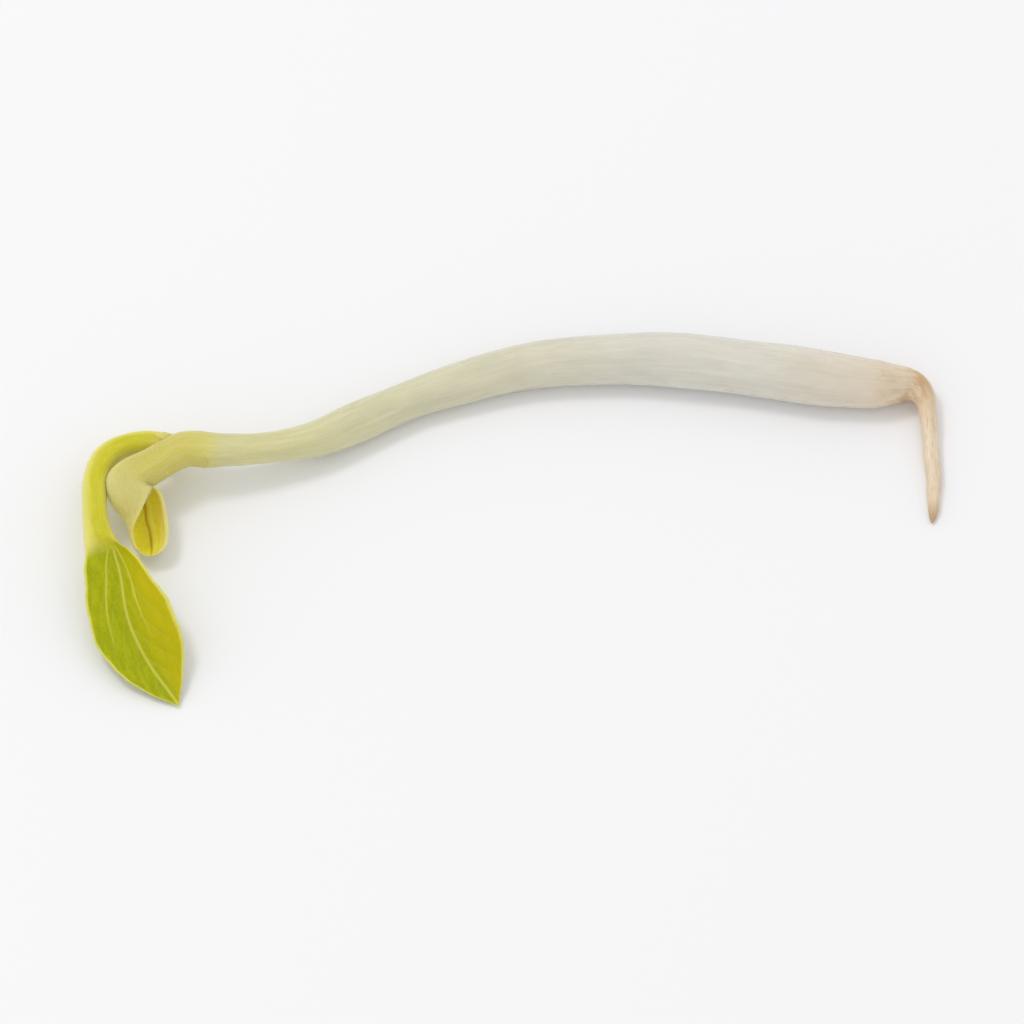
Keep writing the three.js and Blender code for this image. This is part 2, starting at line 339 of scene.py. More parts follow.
# The root's relief is in shares of its radius.
FURROW_DEPTH = 0.1
SHRIVEL_DEPTH = 0.06
WRINKLE_DEPTH = 0.02
PINCH_DEPTH = 0.1
PINCH_AT = 6.4
ROOT_TIP = 1.0  # length of the root's tapered tip
SCAR_SIDES = (0.15, math.pi + 0.1)  # the two sides where the seed leaves dropped off
SCAR_DEPTH = 0.012
SCAR_RIM = 0.022


def skin_of_stem(s, a, x, y):
    """Relief of the white stem in millimetres, and the strands that show in it, 0 to 1."""
    strands = 0.6 * ridges(a, s, seed=11, count=22, width=0.1, drift=0.16)
    strands += 0.5 * ridges(a, s, seed=12, count=56, width=0.035, drift=0.08)
    strands *= 1 - 0.7 * smoothstep(NODE_AT - 3, NODE_AT + 2, s)
    hollows = ripple(x, y, s, seed=21, cycles=(0.05, 0.16))
    grooves = ripple(x * 1.6, y * 1.6, s * 0.3, seed=22, cycles=(0.5, 1.1))
    return STRAND_HEIGHT * strands + GROOVE_HEIGHT * grooves + HOLLOW_DEPTH * hollows, strands


def skin_of_root(s, a):
    """Relief of the shrivelled root in shares of its radius, and the furrows in it, 0 to 1."""
    x, y = np.cos(a), np.sin(a)
    furrows = ridges(a, s, seed=31, count=7, width=0.26, drift=0.5)
    shrivel = ripple(x, y, s * 0.8, seed=32, cycles=(0.25, 0.7))
    wrinkles = ripple(x * 0.4, y * 0.4, s, seed=33, cycles=(0.6, 1.6))
    relief = FURROW_DEPTH * (furrows - 0.4) + SHRIVEL_DEPTH * shrivel + WRINKLE_DEPTH * wrinkles
    return relief - PINCH_DEPTH * bump(s, PINCH_AT, 1.3), furrows


def stem_form(s, a):
    """Radius at distance s along the stem's axis and angle a round it, and marks for the materials.

    Root, stem, epicotyl and the folded leaf's stalk all take their surface from here, so that each
    runs on into the next without a step."""
    radius = stem.radius(s)
    x, y = np.cos(a) * radius, np.sin(a) * radius
    in_root = 1 - smoothstep(COLLAR_AT - 1.2, COLLAR_AT + 0.6, s)
    in_stem = 1 - in_root
    unevenness = sum(size * np.sin(s * pace + start) for size, pace, start in STEM_WAVES)
    swell = 1 + unevenness * in_stem + NODE_SWELLING * bump(s, NODE_AT + 0.5, 0.7)
    three_sided = 1 + THREE_SIDEDNESS * np.cos(3 * a + s * 0.05)

    stem_relief, strands = skin_of_stem(s, a, x, y)
    root_relief, furrows = skin_of_root(s, a)
    creases = ripple(x * 0.4, y * 0.4, s * 2.6, seed=23, cycles=(0.25, 0.7))
    crease = COLLAR_CREASE * bump(s, COLLAR_AT + 0.4, 2.6) + NODE_CREASE * bump(s, NODE_AT, 3.5)
    fork = bump(s, FORK_AT - 1.1, 1.15) * bump(around(a, FORK_SIDE), 0, 0.85)
    relief = stem_relief * in_stem + crease * creases + FORK_SWELLING * fork
    relief += radius * root_relief * in_root

    marks = {
        "grain": round_grain(s, a),
        "streak": strands * in_stem + furrows * in_root,
        "station": s,
    }
    return radius * swell * three_sided + relief, marks


def make_hypocotyl():
    s, a = ring_grid(np.linspace(COLLAR_AT - OVERLAP, NODE_AT + OVERLAP, STEM_RINGS), STEM_ROUND)
    radius, marks = stem_form(s, a)
    points = stem.place_round(s, a, radius * tuck_in(s, COLLAR_AT, NODE_AT))
    return add_body("white_stem", rest_on_floor(points), marks)


def make_root():
    tip = ROOT_TIP * (1 - np.cos(np.radians(TIP_ANGLES)))
    distances = np.concatenate([tip, np.linspace(ROOT_TIP, COLLAR_AT + OVERLAP, ROOT_RINGS)])
    s, a = ring_grid(distances, ROOT_ROUND)
    radius, marks = stem_form(s, a)
    rounding = np.sqrt(1 - np.clip(1 - s / ROOT_TIP, 0, 1) ** 2)
    points = stem.place_round(s, a, radius * rounding * tuck_in(s, -1, COLLAR_AT))
    return add_body("root", rest_on_floor(points), marks)


def make_epicotyl():
    distances = np.linspace(NODE_AT - OVERLAP, FORK_AT + OVERLAP, EPICOTYL_RINGS)
    s, a = ring_grid(distances, EPICOTYL_ROUND)
    radius, marks = stem_form(s, a)
    scar, rim = 0 * s, 0 * s
    for side in SCAR_SIDES:
        away = np.hypot(around(a, side) / 0.5, (s - NODE_AT - 0.6) / 0.26)
        scar += smoothstep(1, 0.6, away)
        rim += bump(away, 1.1, 0.3)
    radius = radius * tuck_in(s, NODE_AT, FORK_AT) + SCAR_RIM * rim - SCAR_DEPTH * scar
    points = stem.place_round(s, a, radius)
    marks["scar"] = 0.6 * scar + 0.5 * rim
    return add_body("epicotyl_node", points, marks)


def make_young_leaf(name, stations):
    """A bud or bract between the leaf stalks: a small pointed body with a crease along it."""
    axis = Axis(stations)
    distances = axis.length * np.sin(np.linspace(0, math.pi / 2, YOUNG_LEAF_RINGS))
    s, a = ring_grid(distances, YOUNG_LEAF_ROUND)
    crease = 1 - 0.22 * bump(around(a, math.pi / 2), 0, 0.3)
    points = axis.place_round(s, a, axis.radius(s) * crease * (1 + 0.05 * np.cos(5 * a + s * 2)))
    marks = {
        "grain": round_grain(s, a),
        "streak": ridges(a, s, seed=51, count=7, width=0.2, drift=0.1),
        "station": FORK_AT + 2 + 0 * s,  # coloured like the folded leaf's stalk
        "scar": 0 * s,
    }
    return add_body(name, points, marks)


# ---------- leaves ----------

LEAF_COLUMNS = 95  # points from margin to margin of each face


def leaf_grid(stalk_rings, blade_rings):
    """Distances of the sections of a leaf, and places across them from -1 to 1."""
    distances = np.concatenate([stalk_rings, blade_rings])
    return np.meshgrid(distances, np.linspace(-1, 1, LEAF_COLUMNS), indexing="ij")


def running_sum(values, u):
    """Integral of values over u along each row by the trapezoid rule, starting at 0."""
    steps = (values[:, 1:] + values[:, :-1]) / 2 * np.diff(u, axis=1)
    return np.concatenate([np.zeros((len(values), 1)), np.cumsum(steps, 1)], 1)


def two_faces(upper, lower):
    """Joins rows over u into closed outlines: the upper face from 1 to -1, then the lower back."""
    return np.concatenate([upper[:, ::-1], lower], 1)


def both_faces(field):
    return two_faces(field, field)


def leaf_sections(u, width, slope, upper, lower):
    """Outlines of bent strips, one a row. u runs from -1 to 1 across the strip. slope says how
    steeply its middle line runs there, and upper and lower how far each face stands from it."""
    centre = u.shape[1] // 2
    middle_x = running_sum(np.cos(slope) * width, u)
    middle_y = running_sum(np.sin(slope) * width, u)
    middle_x -= middle_x[:, centre : centre + 1]
    middle_y -= middle_y[:, centre : centre + 1]
    normal_x, normal_y = -np.sin(slope), np.cos(slope)
    across = two_faces(middle_x + upper * normal_x, middle_x - lower * normal_x)
    above = two_faces(middle_y + upper * normal_y, middle_y - lower * normal_y)
    return across, above


# ---------- the open leaf ----------

OPEN_STALK_RINGS, BLADE_RINGS = 130, 300
STALK_START = 0.3  # along its axis, inside the epicotyl
BLADE_FOLD = math.radians(28)  # how steeply both halves rise from the midrib
BLADE_ROLL = math.radians(18)  # how far the whole blade is turned about it
BLADE_WAVE = math.radians(4)
MARGIN_CURL = math.radians(16)
HALF_SAG = math.radians(14)
BLADE_TIP = 1.1  # length of its rounded tip
HALF_THICKNESS = 0.09
MARGIN_ROUNDING = 0.1
VEIN_SPACING = 2.0
VEIN_GROOVE = 0.02
VEIN_RIB = 0.04
MIDRIB_RIDGE = 0.03
MIDRIB_RIB = 0.42  # how far it stands out underneath at the base
MIDRIB_THINNING = 0.28
QUILTING = 0.018
STALK_RELIEF = 0.012


def vein_pattern(from_base, along, u, reach):
    """Veins of a young leaf, 0 to 1, and the soft bulges between them, -1 to 1."""
    sideways = np.where(u > 0, 0.35, 0.85)
    climb = 2.1 * reach + 0.1 * reach**2
    phase = (from_base - climb) / VEIN_SPACING + sideways
    near = np.abs(phase - np.round(phase)) * VEIN_SPACING
    side_veins = 0.4 * bump(near, 0, 0.16) * (1 - 0.6 * smoothstep(0.6, 1, np.abs(u)))
    # Two nerves leave the base with the midrib and fade out past the middle of the blade.
    nerve_reach = np.where(u > 0, 0.85, 1.25) * (1 - np.exp(-5 * along - 0.1)) * (1 + 0.4 * along)
    nerves = 0.9 * bump(reach, nerve_reach, 0.075) * (1 - smoothstep(0.35, 0.75, along))
    between = smoothstep(0.05, 0.3, np.abs(u)) * (1 - smoothstep(0.75, 1, np.abs(u)))
    quilting = -np.cos(TURN * phase) * between
    return np.maximum(side_veins * smoothstep(0, 0.12, along), nerves), quilting


def blade_half_width(s, along, u, tip):
    """From the midrib to the margin on either side, with a slightly uneven margin."""
    tables = (BLADE_LEFT, BLADE_RIGHT)
    left, right = (values_through(table, along[:, 0])[:, None] for table in tables)
    side = np.sign(u)
    uneven = 1 + 0.01 * np.sin(s * 2.6 + side) + 0.004 * np.sin(s * 6.7 - side)
    return np.where(u > 0, right, left) * tip * uneven


def blade_slope(s, along, u, half_width):
    """How steeply the blade's section runs at u: folded at the midrib, rolled and a little wavy."""
    flattening = 1 - 0.6 * along**3
    keel = np.tanh(u * half_width / 0.22)
    curl = MARGIN_CURL * np.abs(u) ** 2.5 - HALF_SAG * np.abs(u)
    wave = BLADE_WAVE * np.sin(s * 1.7 + np.sign(u)) * u
    return BLADE_ROLL * flattening + keel * (BLADE_FOLD * flattening + curl) + wave


def make_open_leaf():
    """A round stalk with a channel on top that opens into a thin blade with ribs underneath."""
    length = open_leaf_axis.length
    stalk_rings = np.linspace(STALK_START, BLADE_AT - 1, OPEN_STALK_RINGS)
    blade_rings = np.linspace(BLADE_AT - 0.95, length, BLADE_RINGS)
    s, evenly = leaf_grid(stalk_rings, blade_rings)
    along = np.clip((s - BLADE_AT) / (length - BLADE_AT), 0, 1)
    opening = smoothstep(BLADE_AT - 0.7, BLADE_AT + 0.7, s)
    closed = 1 - opening
    # Even steps across the blade, and even turns round the stalk.
    u = evenly + (np.sin(evenly * math.pi / 2) - evenly) * closed

    past_tip = ((s - (length - BLADE_TIP)) / (BLADE_TIP + 0.02)).clip(0, 1)
    tip = np.sqrt(np.clip(1 - past_tip**2, 0.0004, 1))
    stalk_radius = open_leaf_axis.radius(s) * (1 + 0.02 * np.sin(s * 2.3))
    half_width = blade_half_width(s, along, u, tip)
    widening = smoothstep(BLADE_AT - 1.4, BLADE_AT + 1.2, s)
    width = stalk_radius + (half_width - stalk_radius) * widening
    reach = np.abs(u) * half_width
    slope = blade_slope(s, along, u, half_width) * opening

    veins, quilting = vein_pattern(s - BLADE_AT, along, u, reach)
    fade = smoothstep(0, 0.16, 1 - along) * opening
    midrib = bump(reach, 0, 0.11) * opening
    rim = np.clip((reach - half_width) / MARGIN_ROUNDING + 1, 0, 1)
    thin = HALF_THICKNESS * np.sqrt(np.clip(1 - rim**2, 0, 1)) * tip
    rib = (MIDRIB_RIB - MIDRIB_THINNING * along) * bump(reach, 0, 0.3) * tip
    blade_upper = thin + (QUILTING * quilting - VEIN_GROOVE * veins) * fade + MIDRIB_RIDGE * midrib
    blade_lower = thin + rib + (VEIN_RIB * veins - QUILTING * quilting) * fade

    circle = np.sqrt(np.clip(1 - u**2, 0, 1))
    channel = 1 - 0.12 * bump(u, 0, 0.5)
    stalk = stalk_radius * circle
    bumps = ripple(u * 1.2, s, seed=61, cycles=(0.25, 0.7))
    relief = STALK_RELIEF * bumps * closed * circle
    upper = stalk * channel * closed + blade_upper * opening + relief
    lower = stalk * closed + blade_lower * opening + relief
    across, above = leaf_sections(u, width, slope, upper, lower)
    shift = values_through(MIDRIB_SHIFT, along[:, 0])[:, None]
    across = across + both_faces(shift * opening * (1 - u**2))

    points = open_leaf_axis.place(both_faces(s), across, above)
    blade_start = s - 0.35 * bump(reach, 0, 0.4)
    marks = {
        "grain": np.stack([across, above, both_faces(s)], -1),
        "vein": both_faces(np.maximum(veins * fade, midrib)),
        "blade": both_faces(smoothstep(BLADE_AT - 0.3, BLADE_AT + 0.75, blade_start)),
        "edge": both_faces(smoothstep(0.87, 1, np.abs(u)) * opening),
        "across": both_faces(u),
        "station": both_faces(s),
    }
    return add_body("open_leaf", rest_on_floor(points), marks)


# ---------- the folded leaf ----------

FOLDED_STALK_RINGS, TROUGH_RINGS = 150, 260
MARGIN_AT = 115  # degrees from the keel to both margins along the stalk
LEFT_WRAP = 128.5  # the left one then wraps over the top by this and meets the right one
LEFT_PARTING = 150  # along the mouth it draws back again
RIGHT_PARTING = 9
BLUNTNESS = 2.5  # 2 would end the folded blade in a half ellipse
FOLDED_TIP = 0.85  # length of its round end
WALL_THICKNESS = 0.27
MARGIN_THINNING = 0.09
RIGHT_THICKENING = 0.08
POCKET_DEPTH = 0.7  # how far the hollow reaches up the stalk
HOOD_HEIGHT = 0.16
HOOD_TOP = math.radians(-130)  # turns from the keel, over the left side
# Where the painted highlight runs round the hood, over its left side.
HOOD_SIDE = math.radians(-112)


def folded_radius(s, angle):
    """Radius of the outer face at distance s and an angle from the keel."""
    radius, _ = stem_form(s, angle - math.pi / 2)
    run = s - MOUTH_AT
    left_side = np.sin(angle).clip(-1, 0) ** 2
    right_side = np.sin(angle).clip(0, 1) ** 2
    left = left_side * (0.2 * bump(run, -0.1, 0.75) - 0.04 * bump(run, 1.6, 0.5))
    right = right_side * 0.22 * bump(run, 0.75, 0.8)
    hood = HOOD_HEIGHT * bump(around(angle, HOOD_TOP), 0, 0.6) * bump(run, -0.2, 0.8)
    return radius + left + right + hood


def make_folded_leaf():
    """The stalk past the fork, and the young blade that is still rolled into a hood and a trough.

    The outer face of a section runs from the left margin round the keel to the right margin, and
    the inner face back. The margins meet along the top of the stalk, which closes it, and part at
    the mouth. There the inner face sinks into the hollow, which reaches a little way up the stalk."""
    stalk_rings = np.linspace(FORK_AT - OVERLAP, MOUTH_AT, FOLDED_STALK_RINGS)
    down_trough = np.linspace(0, 1, TROUGH_RINGS)[1:] ** 1.2
    s, u = leaf_grid(stalk_rings, MOUTH_AT + (stem.length - MOUTH_AT) * down_trough)
    run = s - MOUTH_AT
    opened = run > 0
    parting = (smoothstep(-0.9, 3.1, run) - smoothstep(-0.9, 3.1, 0.0)).clip(0)
    wrap = LEFT_WRAP * smoothstep(-2.8, -0.1, run)
    left_margin = np.radians(MARGIN_AT + wrap - LEFT_PARTING * parting)
    right_margin = np.radians(MARGIN_AT - RIGHT_PARTING * smoothstep(0, 1.5, run))
    outer_angle = np.where(u > 0, right_margin, left_margin) * u
    end = ((s - stem.length + FOLDED_TIP) / (FOLDED_TIP + 0.01)).clip(0, 1)
    tip = (1 - end**BLUNTNESS) ** (1 / BLUNTNESS)

    midrib_at = np.radians(24 + 42 * (1 - smoothstep(-0.2, 2.2, run)))
    midrib = bump(outer_angle, midrib_at, 0.18)
    crease = bump(outer_angle, midrib_at - 0.3, 0.11)
    veins = bump(np.abs(((s - np.abs(outer_angle)) / 0.6) % 1 - 0.5), 0, 0.16)
    rim = np.clip((np.abs(u) - 0.93) / 0.07, 0, 1)
    wall = WALL_THICKNESS - MARGIN_THINNING * np.abs(u) + RIGHT_THICKENING * u.clip(0, 1)
    wall = wall * np.sqrt(1 - rim**2) * (0.5 + 0.5 * tip)
    wall = wall + (0.07 * midrib - 0.05 * crease - 0.01 * veins) * tip * (1 - rim)
    outer_relief = (0.04 * midrib + 0.008 * veins) * tip * smoothstep(0, 1, run)
    outer_radius = folded_radius(s, outer_angle) * tip + outer_relief

    pocket = POCKET_DEPTH * (1 - smoothstep(0, 1.3, run)) * (1 - u**4)
    inner_s = np.where(opened, s - pocket, s)
    top_angle = right_margin + (1 - u) / 2 * (TURN - left_margin - right_margin)
    inner_angle = np.where(opened, outer_angle, top_angle)
    hollow_radius = folded_radius(inner_s, outer_angle) * tip - wall
    inner_radius = np.where(opened, hollow_radius, folded_radius(s, top_angle))

    angle = two_faces(inner_angle, outer_angle)
    radius = two_faces(inner_radius, outer_radius)
    radius = radius * tuck_in(both_faces(s), FORK_AT, stem.length + 1)
    at = two_faces(inner_s, s)
    across, above = radius * np.sin(angle), -radius * np.cos(angle)
    points = stem.place(at, across, above)

    _, stalk_marks = stem_form(both_faces(s), angle - math.pi / 2)
    marks = {
        **stalk_marks,
        "leaf_grain": np.stack([across, above, at], -1),
        "vein": both_faces(np.maximum(0.5 * veins, midrib)),
        # The crease mask also lays painted shade in the groove beside the midrib.
        "crease": both_faces(crease),
        "pale_half": both_faces(smoothstep(midrib_at + 0.15, midrib_at + 1.0, outer_angle)),
        "inside": two_faces(opened, opened * 0),
        "edge": both_faces(smoothstep(0.85, 0.95, np.abs(u)) * smoothstep(0.0, 0.2, run)),
        # Painted highlight: a pale band along the hood's left side, just before the mouth.
        "hood_highlight": bump(around(angle, HOOD_SIDE), 0, 0.32) * bump(both_faces(run), -1.2, 1.5),
    }
    return add_body("folded_leaf", rest_on_floor(points), marks)


# ---------- hairs ----------

HAIR_RADIUS = 0.009
HAIR_LEVELS = np.array([0.0, 0.4, 0.75, 1.0])  # places along a hair
HAIR_TAPER = np.array([1.0, 0.8, 0.45, 0.06])  # its thickness there
HAIR_SIDES = 3
HAIR_ROOT = 0.04  # depth that it stands in the skin
HAIR_SHORTEST = 0.35  # share of the greatest length
HAIR_LEAN = 0.35  # to the far end, against 1 straight out of the skin
HAIR_STRAY = 0.28
HAIR_BEND = 0.5
HAIR_BEND_STRAY = 0.2
HAIRLESS_BELOW = 0.35  # none this near to the surface that the sprout lies on


def read_field(collection, field, width=1, kind=float):
    """One field of all elements of a mesh, with a column for each of its numbers."""
    values = np.empty(len(collection) * width, kind)
    collection.foreach_get(field, values)
    return values.reshape(-1, width) if width > 1 else values


def hair_faces(count):
    """Side walls and both ends of count spikes, whose vertices follow each other level by level."""
    walls, last = [], (len(HAIR_LEVELS) - 1) * HAIR_SIDES
    for low in range(0, last, HAIR_SIDES):
        for j in range(HAIR_SIDES):
            k = (j + 1) % HAIR_SIDES
            walls.append((low + j, low + k, low + HAIR_SIDES + k, low + HAIR_SIDES + j))
    sides = range(HAIR_SIDES)
    ends = [tuple(reversed(sides)), tuple(last + j for j in sides)]
    base = np.arange(count)[:, None, None] * (last + HAIR_SIDES)
    every_wall = (base + np.array(walls)).reshape(-1, 4)
    every_end = (base + np.array(ends)).reshape(-1, HAIR_SIDES)
    return every_wall.tolist() + every_end.tolist()


def make_hairs(name, piece, axis, seed, count, longest, favour, *favoured_marks):
    """Short fine hairs on a piece: slim bent spikes that stand in its skin and lean to its far end.

    They are spread by area, times what favour makes of the skin's station, normals and marks."""
    rng = np.random.default_rng(seed)
    mesh = piece.data
    centres = read_field(mesh.polygons, "center", 3) / MM
    normals = read_field(mesh.polygons, "normal", 3)
    corners = read_field(mesh.loops, "vertex_index", kind=int)
    first = corners[read_field(mesh.polygons, "loop_start", kind=int)]
    station, *marks = (
        read_field(mesh.attributes[mark].data, "value", kind=np.float32)[first].astype(float)
        for mark in ("station", *favoured_marks)
    )
    chance = read_field(mesh.polygons, "area") * favour(station, normals, *marks)
    chance = chance * (centres[:, 2] > HAIRLESS_BELOW)
    picked = rng.choice(len(centres), size=count, p=chance / chance.sum())

    place, normal = centres[picked], normals[picked]
    along = axis.heading(station[picked], 0.3)
    stray = rng.normal(size=(count, 3)) * HAIR_STRAY
    heading = unit(normal + HAIR_LEAN * along + stray)
    bend = HAIR_BEND * along + rng.normal(size=(count, 3)) * HAIR_BEND_STRAY
    length = (longest * rng.uniform(HAIR_SHORTEST, 1.0, count))[:, None, None]
    level = HAIR_LEVELS[None, :, None]
    grown = length * (heading[:, None] * level + bend[:, None] * level**2)
    spine = (place - HAIR_ROOT * normal)[:, None] + grown
    side = unit(np.cross(heading, unit(normal + (0.3, 0.2, 0.7))))
    other = np.cross(heading, side)
    turn = (np.arange(HAIR_SIDES) / HAIR_SIDES * TURN)[None, None, :, None]
    ring = np.cos(turn) * side[:, None, None] + np.sin(turn) * other[:, None, None]
    vertices = spine[:, :, None] + HAIR_RADIUS * HAIR_TAPER[None, :, None, None] * ring
    return add_piece(name, vertices, hair_faces(count))


def towards_fork(station, normals):
    return smoothstep(NODE_AT, FORK_AT, station)


def on_folded_leaf(station, normals, inside, edge):
    """Not in the trough; more towards the mouth and most on the margins."""
    return (inside < 0.5) * (0.35 + smoothstep(FORK_AT, MOUTH_AT, station) + 2 * edge)


def on_open_leaf(station, normals, edge, blade):
    """Some on the stalk; on the blade underneath and along its margins."""
    return 0.25 * (1 - blade) + blade * (0.35 * (normals[:, 2] < 0) + 1.6 * (edge > 0.9))


# ---------- materials ----------


def srgb(red, green, blue):
    """A colour given as it reads on a screen, 0 to 255, in the linear values that nodes take."""
    values = [c / 255 for c in (red, green, blue)]
    linear = [c / 12.92 if c <= 0.04045 else ((c + 0.055) / 1.055) ** 2.4 for c in values]
    return (*linear, 1.0)


PLANT_IOR = 1.38
LIGHT_REACH = (1.0, 0.82, 0.55)  # red light travels furthest in the tissue
COAT_ROUGHNESS = 0.18
NOISE_ROUGHNESS = 0.55


class Surface:
    """A material under construction: small helpers that add nodes and hand back their outputs."""

    def __init__(self, name, roughness, translucence, depth_mm, coat=0.0, specular=0.5):
        self.material = bpy.data.materials.new(name)
        self.material.use_nodes = True
        self.tree = self.material.node_tree
        self.inputs = self.tree.nodes["Principled BSDF"].inputs
        self.inputs["Roughness"].default_value = roughness
        self.inputs["IOR"].default_value = PLANT_IOR
        self.inputs["Subsurface Weight"].default_value = translucence
        self.inputs["Subsurface Radius"].default_value = LIGHT_REACH
        self.inputs["Subsurface Scale"].default_value = depth_mm * MM
        self.inputs["Specular IOR Level"].default_value = specular
        self.inputs["Coat Weight"].default_value = coat
        self.inputs["Coat Roughness"].default_value = COAT_ROUGHNESS

    def add(self, kind, inputs=(), **settings):
        node = self.tree.nodes.new(kind)
        for key, value in settings.items():
            setattr(node, key, value)
        for key, value in dict(inputs).items():
            self.feed(node.inputs[key], value)
        return node

    def feed(self, socket, value):
        if isinstance(value, bpy.types.NodeSocket):
            self.tree.links.new(value, socket)
        else:
            socket.default_value = value

    def mark(self, name):
        """One of the piece's marks, from 0 to 1 but for station, which is in millimetres."""
        return self.add("ShaderNodeAttribute", attribute_name=name).outputs["Fac"]

    def grain(self, stretch, mark="grain"):
        """The coordinates kept in a mark, scaled along each of them."""
        node = self.add("ShaderNodeAttribute", attribute_name=mark)
        inputs = {0: node.outputs["Vector"], 1: stretch}
        return self.add("ShaderNodeVectorMath", inputs, operation="MULTIPLY").outputs[0]

    def noise(self, stretch, scale=1.0, detail=3.0, mark="grain"):
        inputs = {"Vector": self.grain(stretch, mark), "Scale": scale, "Detail": detail}
        inputs["Roughness"] = NOISE_ROUGHNESS
        return self.add("ShaderNodeTexNoise", inputs).outputs["Fac"]

    def net(self, stretch, scale, width, mark="grain"):
        """A fine mesh of veinlets, 1 on the lines and 0 in the cells between them."""
        inputs = {"Vector": self.grain(stretch, mark), "Scale": scale}
        cells = self.add("ShaderNodeTexVoronoi", inputs, feature="DISTANCE_TO_EDGE")
        return self.span(cells.outputs["Distance"], width, 0.0)

    def span(self, value, low, high, to_low=0.0, to_high=1.0):
        """Maps value from low..high to to_low..to_high, smoothly and held at the ends."""
        inputs = {"Value": value, "From Min": low, "From Max": high}
        inputs.update({"To Min": to_low, "To Max": to_high})
        node = self.add("ShaderNodeMapRange", inputs, interpolation_type="SMOOTHSTEP")
        return node.outputs["Result"]

    def mix(self, factor, first, second):
        """Mixes two colours. A Mix node lists its colour sockets as numbers 6 and 7, result 2."""
        inputs = {"Factor": factor, 6: first, 7: second}
        return self.add("ShaderNodeMix", inputs, data_type="RGBA").outputs[2]

    def lay(self, base, colour, value, low, high, amount=1.0):
        """Lays a colour over a base, from none where value is low to amount where it is high."""
        return self.mix(self.span(value, low, high, 0.0, amount), base, colour)

    def tint(self, colour, factor):
        """A colour made lighter or darker by a factor."""
        inputs = {0: colour, "Scale": factor}
        return self.add("ShaderNodeVectorMath", inputs, operation="SCALE").outputs[0]

    def math(self, operation, *values):
        return self.add("ShaderNodeMath", dict(enumerate(values)), operation=operation).outputs[0]

    def times(self, first, second):
        return self.math("MULTIPLY", first, second)

    def colour(self, value):
        self.feed(self.inputs["Base Color"], value)

    def roughness(self, pattern, smooth, rough):
        self.feed(self.inputs["Roughness"], self.span(pattern, 0.2, 0.8, smooth, rough))

    def relief(self, height, distance_mm):
        inputs = {"Height": height, "Distance": distance_mm * MM, "Strength": 1.0}
        self.feed(self.inputs["Normal"], self.add("ShaderNodeBump", inputs).outputs["Normal"])


# Colours of the root, the stem and the folded leaf's stalk, by distance from the root tip in mm.
STEM_COLOURS = [
    (0.0, srgb(206, 176, 140)),
    (1.5, srgb(226, 208, 182)),
    (5.0, srgb(234, 218, 194)),
    (8.0, srgb(226, 202, 168)),
    (9.6, srgb(220, 204, 180)),
    (12.5, srgb(218, 208, 192)),
    (18.0, srgb(216, 213, 203)),
    (25.0, srgb(215, 212, 202)),
    (33.0, srgb(213, 209, 186)),
    (40.0, srgb(209, 207, 176)),
    (46.0, srgb(209, 206, 160)),
    (50.9, srgb(209, 205, 150)),
    (52.0, srgb(211, 202, 106)),
    (54.0, srgb(208, 195, 88)),
    (56.0, srgb(208, 196, 100)),
    (57.5, srgb(216, 204, 122)),
]
STEM_SPAN = 60.0  # distance that the whole colour ramp stands for
PALE = srgb(236, 234, 222)
SHADE = srgb(186, 186, 158)
TAN = srgb(206, 172, 122)
RUST = srgb(196, 150, 98)
BROWN = srgb(150, 104, 60)
HAIR_COLOUR = srgb(244, 240, 214)

BLADE_GREEN = srgb(152, 164, 0)
BLADE_LIGHT = srgb(170, 177, 2)
BLADE_CELL = srgb(192, 190, 8)
# Painted light: the lighter, yellower colour laid on the blade's right half.
BLADE_PAINTED_LIGHT = srgb(192, 180, 0)
BLADE_VEINLET = srgb(198, 198, 40)
BLADE_VEIN = srgb(214, 210, 92)
# Painted highlight: the pale rim laid along the open blade's margins.
BLADE_MARGIN_HIGHLIGHT = srgb(220, 216, 112)
STALK_GREEN = srgb(204, 198, 44)
STALK_LIGHT = srgb(214, 208, 66)
STALK_BASE = srgb(208, 200, 110)
# Painted highlight: the pale rim on the open leaf stalk's left side.
STALK_LEFT_HIGHLIGHT = srgb(232, 226, 138)
STALK_RIGHT = srgb(226, 220, 122)

TROUGH_YELLOW = srgb(236, 216, 36)
TROUGH_LIGHT = srgb(246, 230, 62)
TROUGH_VEINLET = srgb(250, 236, 110)
TROUGH_PALE = srgb(242, 226, 158)
TROUGH_VEIN = srgb(252, 238, 130)
# Painted shade for the crease beside the midrib.
TROUGH_CREASE_SHADE = srgb(160, 136, 8)
# Painted highlight on the hood's left side.
HOOD_HIGHLIGHT = srgb(240, 232, 172)
FOLDED_MARGIN = srgb(226, 212, 130)
SKIN_RELIEF = 0.012  # millimetres


def station_ramp(surface, station):
    """The ground colour along the stem's axis."""
    inputs = {"Value": station, "From Min": 0.0, "From Max": STEM_SPAN}
    place = surface.add("ShaderNodeMapRange", inputs)
    ramp = surface.add("ShaderNodeValToRGB", {"Fac": place.outputs["Result"]})
    stops = ramp.color_ramp.elements
    while len(stops) < len(STEM_COLOURS):
        stops.new(0.5)
    for stop, (distance, colour) in zip(stops, STEM_COLOURS):
        stop.position = distance / STEM_SPAN
        stop.color = colour
    return ramp.outputs["Color"]


